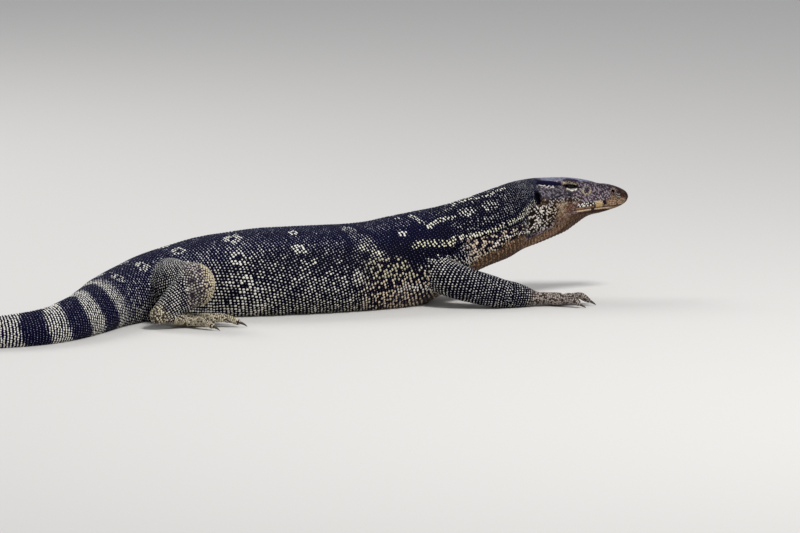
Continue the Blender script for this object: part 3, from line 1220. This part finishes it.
def paint_neck(coat):
    """Underside of the neck: black and tan checks with pale stripes, then the brown throat."""
    s, g = coat.station, coat.girth
    under = step_up(s, 0.165, 0.185) * coat.body * step_up(g, 0.0745, 0.0785)
    checks = worms(s * 0.75, g * 1.1, 0.0105, 7.0) + 0.5 * (coat.chance - 0.5)
    is_tan = checks > -0.12 + 0.35 * step_up(s, 0.225, 0.245) - 0.30 * step_up(g, 0.088, 0.096)
    patches = coat.speckled(blend(MURK * 1.2, TAN * 1.30, is_tan), 0.7, 0.6)
    coat.paint(under, patches, np.where(is_tan, 0.90, 0.6))
    stripe = np.maximum(*(ridge(line_distance(s, g, line), 0.0, reach)
                          for line, reach, _, _ in (EAR_STRIPE, JAW_STRIPE)))
    coat.paint(under * step_up(stripe, 0.3, 0.6), CHALK * 1.3)
    throat = under * step_up(coat.share + 0.02 * noise_wave(s * 260, g * 260, 14.0), 0.655, 0.685)
    ridges = 0.5 + 0.5 * np.sin(s * 2 * math.pi / THROAT_RIDGE)
    brown = coat.speckled(blend(THROAT * 0.36, THROAT * 1.15, ridges), 0.6, 0.7)
    brown = blend(brown, RUST, 0.90 * step_up(coat.share, 0.76, 0.88))
    coat.paint(throat * step_down(stripe, 0.4, 0.7), brown)
    coat.paint(throat, size=0.92, ground=THROAT * 0.22)


def paint_hands(coat):
    """Wrists, hands, ankles and feet: pale, finely netted with brown."""
    wrist = np.linalg.norm(from_joint(coat.place, 3), axis=1)
    pale = np.where(coat.part == LOWER, step_down(wrist, 0.010, 0.024), (coat.part >= PALM) * 1.0)
    mottle = worms(coat.x, coat.place[:, 1] + 1.3 * coat.z, 0.0060, 5.0) + 0.7 * (coat.chance - 0.5)
    netted = blend(HAND * 0.95, FOOT, coat.x <= 0)
    netted = blend(netted, BARK * 2.2, (mottle < -0.42) * 0.9)
    coat.paint(pale, coat.speckled(netted, 0.60, 0.7), 0.86, BARK * 1.3)


def paint_knees(coat):
    """Knees: brown, netted with pale lines, and pale yellow along the front."""
    knee = from_joint(coat.place, 2)
    at_knee = (coat.part >= UPPER) * (coat.part <= LOWER) * (coat.x < 0)
    at_knee = at_knee * step_down(np.linalg.norm(knee, axis=1), 0.030, 0.046)
    at_knee *= step_up(knee[:, 0], -0.022, -0.014)
    coat.paint(at_knee, blend(MURK, CHALK * 0.95, coat.chance * 1.3), 0.72, MURK * 0.8)
    wavy = 0.002 * noise_wave(coat.z * 400, coat.place[:, 1] * 400, 15.0)
    front = at_knee * step_up(knee[:, 0] + wavy, 0.001, 0.006)
    coat.paint(front, coat.speckled(KNEE_YELLOW, 0.75, 0.4), 0.86)


def paint_snout(coat):
    """Snout and the side before the eye: murky, finely netted with paler lines, darker on top."""
    x, z, fine = coat.x, coat.z, coat.fine
    coat.tone = blend(MURK * 1.4, ASH, step_up(fine, -0.15, 0.55))
    top = step_up(z - 0.1445 + 0.28 * (x - 0.400), 0.0, 0.0035) * step_up(x, 0.366, 0.378)
    coat.tint(top * 0.88, blend(MURK * 0.8, SLATE * 1.35, step_up(fine, -0.05, 0.65)))


def paint_crown(coat):
    """Crown, lavender with dark seams, the navy band from eye to nape below it, and the dark brow."""
    x = coat.x
    edge = 0.1600 - 0.10 * np.maximum(x - 0.345, 0.0)
    crown = step_up(coat.z, edge - 0.0004, edge + 0.0008) * step_down(x, 0.385, 0.402)
    lavender = coat.speckled(LAVENDER, 0.58, 0.70) * mix(0.10, 1.0, step_up(x, 0.308, 0.322))[:, None]
    coat.tint(crown, lavender)
    coat.tint(coat.stroke(TEMPLE_LINE, 0.0024, 0.0038), NAVY * 1.2)
    coat.tint(coat.stroke(BROW_LINE, 0.0008, 0.0020), PLUM * 2.6)


def paint_cheek(coat):
    """Grey cheek with fine specks, a row of pale dots above it and a thin dark line below."""
    fine, chance = coat.fine, coat.chance
    grey = blend(SLATE * 0.35, SLATE * 1.55, step_up(fine, -0.30, 0.60))
    coat.tint(coat.patch((0.304, 0.352, 0.006), (0.1385, 0.1535, 0.0015)), grey)
    coat.tint(coat.stroke(CHEEK_TOP_LINE, 0.0009, 0.0020) * (chance > 0.50), CHALK * 0.80)
    coat.tint(0.8 * coat.stroke(UNDER_EYE_LINE, 0.0006, 0.0016), PLUM * 1.5)
    specks = blend(BARK * 1.3, CHALK * 0.62, step_up(fine, 0.25, 0.60))
    coat.tint(coat.patch((0.314, 0.366, 0.008), (0.1310, 0.1365, 0.0018)), specks)
    behind_ear = blend(BARK * 1.1, OCHRE * 0.42, chance > 0.50)
    coat.tint(coat.patch((0.3050, 0.3130, 0.0015), (0.1285, 0.1400, 0.0015)), behind_ear)


def paint_hind_cheek(coat):
    """Brown hind cheek: ochre turning maroon, speckled."""
    x, z, fine, ragged = coat.x, coat.z, coat.fine, coat.ragged
    brown = step_down(z + ragged, 0.1290, 0.1330) * step_up(x + ragged, 0.324, 0.334)
    brown *= step_down(x + 0.0012 * fine, 0.366, 0.376)
    hue = blend(OCHRE * 1.1, RUST * 1.8, step_up(x + 0.7 * (0.125 - z), 0.338, 0.360))
    coat.tint(brown, blend(coat.speckled(hue, 0.35, 1.25), TAN * 0.50, 0.8 * (fine > 0.60)))


def paint_jaw_hinge(coat):
    """Black and cream labyrinth with two paler patches, and the tan patch and jaw edge before it."""
    x, z, ragged = coat.x, coat.z, coat.ragged
    hinge = step_up(x, 0.278, 0.284) * step_down(x + 0.35 * (0.115 - z) + ragged, 0.328, 0.334)
    hinge *= step_up(z - 0.25 * (x - 0.3), 0.0905, 0.0930) * step_down(z + 0.5 * ragged, 0.1280, 0.1310)
    paler = np.minimum(coat.oval((0.3070, 0.1250), (0.0040, 0.0040)),
                       coat.oval((0.3070, 0.1057), (0.0060, 0.0050)))
    level = 0.17 - 0.26 * step_down(paler, 0.6, 1.1) + 0.12 * step_up(x, 0.314, 0.322)
    cream = coat.speckled(blend(CHALK * 1.10, TAN * 1.05, step_up(x, 0.314, 0.324)), 0.65, 0.55)
    coat.tint(hinge, blend(BARK * 0.65, cream, step_up(coat.coarse, level - 0.06, level + 0.10)))
    tan_patch = step_down(coat.oval((0.3370, 0.1288), (0.0062, 0.0028)), 0.8, 1.2)
    edge = line_distance(x, z, JAW_EDGE_LINE) + 0.4 * ragged
    tan = np.maximum(tan_patch, 0.75 * step_down(edge, 0.0012, 0.0026))
    coat.tint(tan * 0.85, coat.speckled(blend(ORANGE, TAN, 0.55), 0.60, 0.7))


def paint_chin(coat):
    """Throat and chin: tan with fine cross ridges, darker and blotched along the upper edge in front."""
    x, z, fine = coat.x, coat.z, coat.fine
    edge = 0.0915 + 0.42 * (x - 0.315)
    throat = step_down(z - edge, -0.0010, 0.0015)
    throat = np.maximum(throat, step_down(coat.above, -0.0085, -0.0050) * step_up(x, 0.345, 0.355))
    ridges = 0.5 + 0.5 * np.sin((x + 0.4 * z) * 2 * math.pi / CHIN_RIDGE)
    hue = coat.speckled(blend(THROAT * 0.45, THROAT * 1.30, ridges), 0.7, 0.6)
    depth = edge - z - 0.006 * step_down(x, 0.330, 0.350)
    hue = blend(hue, coat.speckled(RUST, 0.5, 0.7), 0.95 * step_up(depth, 0.0050, 0.0095))
    hue = blend(hue, BARK, 0.85 * (fine > 0.12) * step_down(depth, -0.0045, -0.0020))
    hue = blend(hue, blend(RUST * 0.8, OCHRE * 0.70, coat.chance), step_up(x, 0.338, 0.352))
    coat.tint(throat, hue)


def paint_ring(coat):
    """Broken ring before the eye."""
    x, z = coat.x, coat.z
    ring = np.hypot((x - 0.3800) / 1.08, z - 0.1462)
    coat.tint(step_down(ring, 0.0030, 0.0050) * 0.7, MURK)
    broken = mix(0.35, 1.0, step_up(0.1482 - z + 0.3 * (0.380 - x), 0.0, 0.0015)) * (coat.chance > 0.2)
    gold = blend(CHALK * 0.50, RING_GOLD, step_up(0.1480 - z, 0.0, 0.004))
    coat.tint(1.1 * ridge(ring, 0.0056, 0.0014) * (coat.y > 0.008) * broken, gold)


def paint_upper_lip(coat):
    """Pale net, orange edge, a yellow plate between black gaps, and tan plates in front."""
    x, above, chance = coat.x, coat.above, coat.chance
    hue = blend(ORANGE, ORANGE * 0.55, chance > 0.75)
    white_net = step_up(coat.fine, -0.10, 0.25) * step_up(x, 0.362, 0.368) * (chance > 0.25)
    hue = blend(hue, blend(BARK, CREAM * 0.95, white_net), above > 0.0036)
    hue = blend(hue, coat.speckled(LIP_TAN, 0.45, 0.75), step_up(x, 0.4080, 0.4100))
    plate = between(x, 0.3922, 0.4032, 0.0008) * between(above, 0.0010, 0.0092, 0.0008)
    hue = blend(hue, blend(LIP_GOLD * 0.66, CREAM, 0.18 * step_up(above, 0.004, 0.008)), plate)
    gap = between(x, 0.4045, 0.4088, 0.0010) * step_up(above, 0.0022, 0.0040) + ridge(x, 0.3908, 0.0008)
    hue = blend(hue, PLUM * 2, gap * 1.2)
    coat.tint(between(above, 0.0003, 0.0085, 0.0006) * step_up(x, 0.358, 0.366), hue)


def paint_lower_lip_and_tip(coat):
    """Lower lip: a pale line with a dark gap and a dark edge under it; snout dark above, tan below."""
    x, z, above, chance = coat.x, coat.z, coat.above, coat.chance
    lower = between(above, -0.0034, -0.0003, 0.0005) * step_up(x, 0.3600, 0.3655)
    hue = blend(LIP_LINE, LIP_TAN * 0.7, step_up(x, 0.412, 0.420))
    coat.tint(lower, blend(hue, PLUM * 2, ridge(x, 0.3885, 0.0026) * (above < -0.0012) * 1.2))
    dark_edge = ridge(above, -0.0052, 0.0015) * step_up(x, 0.360, 0.368)
    coat.tint(1.1 * dark_edge, RUST * 0.45)
    below = step_down(z + 0.25 * (x - 0.42), 0.1330, 0.1385) * step_down(x, 0.436, 0.443)
    tip = step_up(x, 0.4120, 0.4220) * (1 - lower)
    coat.tint(tip * 0.85, coat.speckled(blend(TIP_BROWN * 0.38, LIP_TAN * 0.72, below), 0.4, 1.2))
    coat.tint(coat.patch((0.4240, 0.4310, 0.001), (0.1340, 0.1385, 0.001)) * (chance > 0.6), CHALK * 0.38)
    nostril = np.hypot((x - NOSTRIL_PLACE[0]) * 0.8, (z - NOSTRIL_PLACE[2]) * 1.1)
    coat.tint(1.1 * ridge(nostril, 0.0032, 0.0013) * (coat.y > 0.006) * (chance > 0.3), NOSTRIL_RIM)


def paint_lids(coat):
    """Lids: bright row under the slit, pale arch over it, black at the slit's rim and corners."""
    along = coat.x - EYE_PLACE[0]
    rise = coat.z - EYE_PLACE[2] + along * math.tan(SLIT_TILT)
    outside = coat.y > 0.008
    near_eye = step_down(np.hypot(along / 0.0150, rise / 0.0085), 0.75, 1.0)
    coat.tint(near_eye * (coat.y > 0.010), coat.speckled(LID_BROWN, 0.6, 0.8))
    black = step_down(np.hypot(along / 0.0112, rise / 0.0029), 0.85, 1.05)
    black = np.maximum(black, step_down(line_distance(along, rise, EYE_CORNER_LINE), 0.0006, 0.0014))
    coat.tint(black * outside, PLUM * 0.5)
    arch = step_down(line_distance(along, rise, LID_ARCH), 0.0009, 0.0019)
    coat.tint(arch * (coat.chance > 0.15) * outside, coat.speckled(TAN, 0.45, 0.5))
    under_slit = step_down(line_distance(along, rise, UNDER_SLIT_LINE), 0.0008, 0.0017)
    coat.tint(under_slit * outside, CREAM)
    coat.tint((coat.part == LID) * (np.abs(rise) < 0.0022) * 0.95, PLUM)


HEAD_ZONES = (paint_snout, paint_crown, paint_cheek, paint_hind_cheek, paint_jaw_hinge, paint_chin,
              paint_ring, paint_upper_lip, paint_lower_lip_and_tip, paint_lids)


def paint_head(coat):
    """The head in its own tones, as far back as the ragged edge where the nape's spots begin."""
    x, y, z, part = coat.x, coat.y, coat.z, coat.part
    for paint_zone in HEAD_ZONES:
        paint_zone(coat)
    ear_rim = between(coat.oval((EAR_PLACE[0], EAR_PLACE[2]), (0.0052, 0.0095)), 0.0, 1.0, 0.1)
    coat.tint(ear_rim, PLUM)
    edge = 0.2850 + 0.0200 * step_up(z, 0.122, 0.138)
    edge += 0.0040 * noise_wave(x * 300 + y * 90, z * 300 + y * 320, 11.0) + 0.0030 * (coat.chance - 0.5)
    coat.paint(ear_rim * (part <= HEAD), size=0.10)
    head = (part <= NOSTRIL) * step_up(x - edge, -0.0040, 0.0040)
    coat.paint(head, coat.tone, 0.95, coat.tone * 0.22)


def painted_coat(scales):
    """The coat's ground colours, spot colours and spot radii, which are shares of the scales."""
    coat = Coat(scales)
    for paint_zone in (paint_body, paint_armpit, paint_belly, paint_neck, paint_hands, paint_knees,
                       paint_head):
        paint_zone(coat)
    return coat


def spot_stretch(scales):
    """How many times wider than long the spots are: dashes across neck, back and tail."""
    s = scales["station"]
    g = np.abs(scales["girth"])
    dash = np.maximum(step_down(g, 0.060, 0.095), step_up(s, 0.16, 0.19))
    dash = np.maximum(dash, step_up(-s, 0.25, 0.32))
    armpit = between(s, 0.040, 0.155, 0.030) * step_up(g, 0.092, 0.106)
    return 1 + 1.1 * np.maximum(dash, armpit) * (scales["part"] == BODY)


def scale_template():
    """Places and faces of one scale of unit half length, half width and height."""
    around = full_turn(8)
    rings = []
    for radius, height in ((1.0, -0.35), (0.72, 0.62)):
        ring = (radius * np.cos(around), radius * np.sin(around), np.full(8, height))
        rings.append(np.stack(ring, axis=-1))
    places = np.concatenate(rings + [np.array([[0.0, 0.0, 1.0]])])
    faces = []
    for i in range(8):
        j = (i + 1) % 8
        faces += [(i, j, 8 + j), (i, 8 + j, 8 + i), (8 + i, 8 + j, 16)]
    return places, np.array(faces)


def unwrap_place(scales):
    """Where each scale's root lies on a flat map of the skin: along the body or limb, and round it."""
    u = 0.02 + (scales["station"] - TAIL_TIP) * UNWRAP_SCALE
    v = 0.80 + scales["girth"] * UNWRAP_SCALE
    part = scales["part"]
    quarter = (scales["place"][:, 0] > 0) * 2 + (scales["place"][:, 1] > 0)
    limb_u = 0.04 + 0.24 * quarter + (scales["station"] + 0.04) * UNWRAP_SCALE + 0.10 * (part - UPPER) / 2
    limb_v = 0.10 + 0.11 * (part - UPPER) + scales["girth"] * UNWRAP_SCALE
    return np.stack([np.where(part >= UPPER, limb_u, u), np.where(part >= UPPER, limb_v, v)], axis=-1)


def colour_layer(mesh, name, colours):
    """Give a mesh's vertices a colour each."""
    values = np.concatenate([colours, np.ones((len(colours), 1))], axis=-1)
    layer = mesh.color_attributes.new(name, "FLOAT_COLOR", "POINT")
    layer.data.foreach_set("color", values.astype(np.float32).ravel())


def scale_mesh(name, scales):
    """One object of many scales, with their colours and their bake map."""
    template, faces = scale_template()
    count = len(scales["place"])
    part = scales["part"]
    normal = scales["normal"]
    ahead = unit(scales["ahead"] - normal * np.sum(scales["ahead"] * normal, axis=1, keepdims=True))
    aside = np.cross(normal, ahead)
    half = scales["size"] * 0.5 * RANDOM.uniform(0.90, 1.03, (count, 2))
    half = half * np.select([part == HEAD, part == LIP, part >= PALM], [1.22, 1.12, 1.16], 1.0)[:, None]
    offsets = (ahead[:, None, :] * (template[None, :, 0:1] * half[:, None, 0:1])
               + aside[:, None, :] * (template[None, :, 1:2] * half[:, None, 1:2])
               + normal[:, None, :] * (template[None, :, 2:3] * scales["lift"][:, None, None]))
    places = scales["place"][:, None, :] + offsets
    places[..., 2] = np.maximum(places[..., 2], 0.0)
    corners = (faces[None, :, :] + (np.arange(count) * len(template))[:, None, None]).reshape(-1, 3)
    mesh = new_mesh(name, places.reshape(-1, 3), corners)
    colour_layer(mesh, "Ground", np.repeat(scales["ground"], len(template), axis=0))
    colour_layer(mesh, "Spot", np.repeat(scales["dots"], len(template), axis=0))
    longer = np.sqrt(scales["stretch"])[:, None]
    reach = np.hypot(template[None, :, 0] * longer, template[None, :, 1] / longer)
    edge = mesh.attributes.new("Beyond_spot", "FLOAT", "POINT")
    edge.data.foreach_set("value", (reach - scales["spot"][:, None]).astype(np.float32).ravel())
    patch = unwrap_place(scales)[:, None, :] + template[None, :, :2] * BAKE_PATCH_RADIUS
    uv = mesh.uv_layers.new(name="OFBake")
    uv.data.foreach_set("uv", patch.reshape(-1, 2)[corners.ravel()].astype(np.float32).ravel())
    mesh.shade_smooth()
    return new_object(name, mesh)


def paint_skin(skin, scales):
    """Give the skin the ground colour of the nearest scale."""
    near = search_tree(scales["place"])
    places = vertex_vectors(skin.data)
    colours = scales["ground"][[near.find(place)[1] for place in places]]
    colours[in_opening(places)] = PLUM * 0.4
    colour_layer(skin.data, "Ground", colours)


def feed(tree, node, inputs):
    """Link a node's inputs to other nodes' outputs, or set them to plain values."""
    for name, value in inputs.items():
        if isinstance(value, bpy.types.NodeSocket):
            tree.links.new(value, node.inputs[name])
        else:
            node.inputs[name].default_value = value


def add_node(tree, kind, inputs, **settings):
    """A new shader node with its settings and inputs."""
    node = tree.nodes.new("ShaderNode" + kind)
    for name, value in settings.items():
        setattr(node, name, value)
    feed(tree, node, inputs)
    return node


def new_material(name):
    """A material, its node tree, its surface shader and the object's own coordinates."""
    material = bpy.data.materials.new(name)
    material.use_nodes = True
    tree = material.node_tree
    return material, tree, tree.nodes["Principled BSDF"], add_node(tree, "TexCoord", {}).outputs["Object"]


def ranged(tree, value, start, end, to_start, to_end):
    """A value carried from one range to another."""
    return add_node(tree, "MapRange", {"Value": value, "From Min": start, "From Max": end, "To Min": to_start,
                                       "To Max": to_end}).outputs["Result"]


def ramp(tree, value, stops):
    """Colours along a value from 0 to 1."""
    node = add_node(tree, "ValToRGB", {"Fac": value})
    elements = node.color_ramp.elements
    while len(elements) < len(stops):
        elements.new(0.5)
    for element, (place, colour) in zip(elements, stops):
        element.position = place
        element.color = (*colour, 1.0)
    return node.outputs["Color"]


def painted(tree, name, output="Color"):
    """What the mesh carries under a name."""
    return add_node(tree, "Attribute", {}, attribute_name=name).outputs[output]


def hide_material(name, noise_scale, roughness, grain, spotted):
    """Horny hide in the mesh's own ground colour, finely mottled and pebbled, with a spot on each scale."""
    material, tree, surface, where = new_material(name)
    noise = add_node(tree, "TexNoise", {"Vector": where, "Scale": noise_scale, "Detail": 3.0}).outputs["Fac"]
    colour = painted(tree, "Ground")
    if spotted:
        ragged = add_node(tree, "Math", {0: noise, 1: 0.35, 2: -0.175}, operation="MULTIPLY_ADD")
        beyond = painted(tree, "Beyond_spot", "Fac")
        edge = add_node(tree, "Math", {0: beyond, 1: ragged.outputs["Value"]}, operation="ADD")
        inside = ranged(tree, edge.outputs["Value"], -0.09, 0.09, 1.0, 0.0)
        colour = add_node(tree, "Mix", {"Factor": inside, "A": colour, "B": painted(tree, "Spot")},
                          data_type="RGBA").outputs["Result"]
    mottle = ranged(tree, noise, 0.3, 0.7, 0.78, 1.18)
    mottled = add_node(tree, "VectorMath", {0: colour, "Scale": mottle}, operation="SCALE")
    bump = add_node(tree, "Bump", {"Strength": grain, "Distance": 0.0003, "Height": noise})
    feed(tree, surface, {
        "Base Color": mottled.outputs["Vector"],
        "Roughness": ranged(tree, noise, 0.3, 0.7, roughness - 0.06, roughness + 0.10),
        "Specular IOR Level": 0.03,
        "Normal": bump.outputs["Normal"]})
    return material


def make_eyes():
    """Eyeballs with a black pupil in a dark brown iris."""
    for side in (RIGHT, LEFT):
        name = "eyeball_" + SIDE_NAMES[side]
        eye = ellipsoid(name, on_side(EYE_PLACE, side), (EYE_RADIUS, EYE_RADIUS, EYE_RADIUS), 0.0, 48)
        eye.data.shade_smooth()
        material, tree, surface, where = new_material(name)
        pupil = (EYE_PLACE[0] + 0.0008, (EYE_PLACE[1] + EYE_RADIUS) * side, EYE_PLACE[2])
        away = add_node(tree, "VectorMath", {0: where, 1: pupil}, operation="DISTANCE").outputs["Value"]
        iris = ramp(tree, ranged(tree, away, 0.0, 0.008, 0.0, 1.0), IRIS_STOPS)
        feed(tree, surface, {"Base Color": iris, "Roughness": 0.12, "Specular IOR Level": 0.12})
        eye.data.materials.append(material)
        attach(eye, "root")
        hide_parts("eye_" + SIDE_NAMES[side])


def make_claw(name, root, along, length):
    """A smooth curved claw with a blade-like lower edge."""
    ahead = unit(np.array((along[0], along[1], 0.0)))
    sideways = np.cross(np.array((0.0, 0.0, 1.0)), ahead)
    root = root - along * CLAW_SUNK
    length = length + CLAW_SUNK
    t = np.linspace(0.0, 1.0, 14)
    axis = root + ahead * (length * t * (1 - 0.15 * t))[:, None]
    axis[:, 2] = root[2] + along[2] * length * t * (1 - t) - (root[2] - CLAW_TIP_HEIGHT) * t * t
    up = unit(np.cross(unit(np.gradient(axis, axis=0)), sideways))
    taper = (1 - t) ** 0.7 * 0.94 + 0.05
    around = full_turn(16)
    rings = (axis[:, None, :]
             + sideways * (0.66 * CLAW_RADIUS * taper[:, None] * np.sin(around))[..., None]
             + up[:, None, :] * (CLAW_RADIUS * taper[:, None] * np.cos(around))[..., None])
    rings[..., 2] = np.maximum(rings[..., 2], 0.0)
    claw = new_object(name + "_horn", new_mesh(name, *tube_mesh(rings)))
    claw.data.shade_smooth()
    return claw


def make_claws():
    """Twenty dark claws, streaked with brown horn."""
    material, tree, surface, where = new_material("claw_horn")
    streaks = add_node(tree, "TexNoise", {"Vector": where, "Scale": 420.0}).outputs["Fac"]
    feed(tree, surface, {"Base Color": ramp(tree, streaks, CLAW_STOPS), "Roughness": 0.32})
    for name, (root, along, length) in CLAWS.items():
        claw = make_claw(name, root, along, length)
        claw.data.materials.append(material)
        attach(claw, "root")
        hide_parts(name)


def scale_heights(scales):
    """Heights of the scales: low plates on the head, a keel of raised ones along the tail."""
    on_head = np.isin(scales["part"], (HEAD, LIP, LID, NOSTRIL))
    height = np.where(on_head, 0.10, 0.17) * scales["size"].min(axis=1)
    keel = (scales["part"] == BODY) * step_down(scales["station"], -0.52, -0.44)
    keel = keel * step_down(np.abs(scales["girth"]), 0.0030, 0.0045)
    return height * (1 + 1.2 * keel)


def dress():
    """The skin, its coat of scales and their materials."""
    skin = make_skin()
    scales = lay_on_skin(gather_scales(), skin)
    coat = painted_coat(scales)
    scales.update(lift=scale_heights(scales), stretch=spot_stretch(scales), ground=coat.ground,
                  dots=coat.dots, spot=coat.size)
    thin_out(skin)
    paint_skin(skin, scales)
    horn = hide_material("scale_horn", 1300.0, 0.42, 0.12, True)
    skin.data.materials.clear()
    skin.data.materials.append(hide_material("skin_hide", 900.0, 0.58, 0.5, False))
    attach(skin, "root")
    flesh = [entry["node"] for entry in frame["record"]["subparts"] if entry["material_slot"] == "skin"]
    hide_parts(*flesh)
    order = np.argsort(scales["station"] + 10.0 * scales["part"], kind="stable")
    for number, start in enumerate(range(0, len(order), COAT_PIECE), start=1):
        piece = scale_mesh("scales_%02d" % number, take(scales, order[start:start + COAT_PIECE]))
        piece.data.materials.append(horn)
        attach(piece, "root")


def look_from(shape, place, target):
    """Stand a lamp or camera at a place, facing a target."""
    back = (place - target).normalized()
    side = Vector((0.0, 0.0, 1.0)).cross(back).normalized()
    up = back.cross(side)
    shape.matrix_world = Matrix((
        (side.x, up.x, back.x, place.x), (side.y, up.y, back.y, place.y), (side.z, up.z, back.z, place.z),
        (0.0, 0.0, 0.0, 1.0)))


def add_lamp(name, place, size, energy):
    """A round lamp that faces the animal."""
    light = bpy.data.lights.new(name, "AREA")
    light.shape = "DISK"
    light.size = size
    light.energy = energy
    look_from(new_object(name, light), Vector(place), Vector((0.05, 0.0, 0.05)))


def make_stage():
    """Pale floor, soft studio light and the photograph's camera."""
    corners = np.array(((-1, -1, 0), (1, -1, 0), (1, 1, 0), (-1, 1, 0))) * FLOOR_REACH
    floor = new_object("floor", new_mesh("floor", corners, np.array([[0, 1, 2, 3]])))
    material, tree, surface, _ = new_material("floor_pale")
    feed(tree, surface, {"Base Color": (0.62, 0.60, 0.57, 1.0), "Roughness": 0.85})
    floor.data.materials.append(material)
    world = bpy.data.worlds.new("studio")
    bpy.context.scene.world = world
    world.use_nodes = True
    background = world.node_tree.nodes["Background"]
    feed(world.node_tree, background, {"Color": (0.86, 0.89, 0.95, 1.0), "Strength": 0.50})
    add_lamp("key", (0.8, -1.6, 2.8), 0.9, 80.0)
    add_lamp("rim", (-1.2, 2.2, 2.2), 1.6, 40.0)
    bpy.context.scene.view_settings.view_transform = "Standard"
    camera_data = bpy.data.cameras.new("camera")
    camera_data.lens = CAMERA_LENS
    camera_data.sensor_width = 36.0
    camera_data.clip_end = 100.0
    camera = new_object("camera", camera_data)
    look_from(camera, CAMERA_TARGET + CAMERA_BACK * CAMERA_DISTANCE, CAMERA_TARGET)
    bpy.context.scene.camera = camera


dress()
make_eyes()
make_claws()
make_stage()
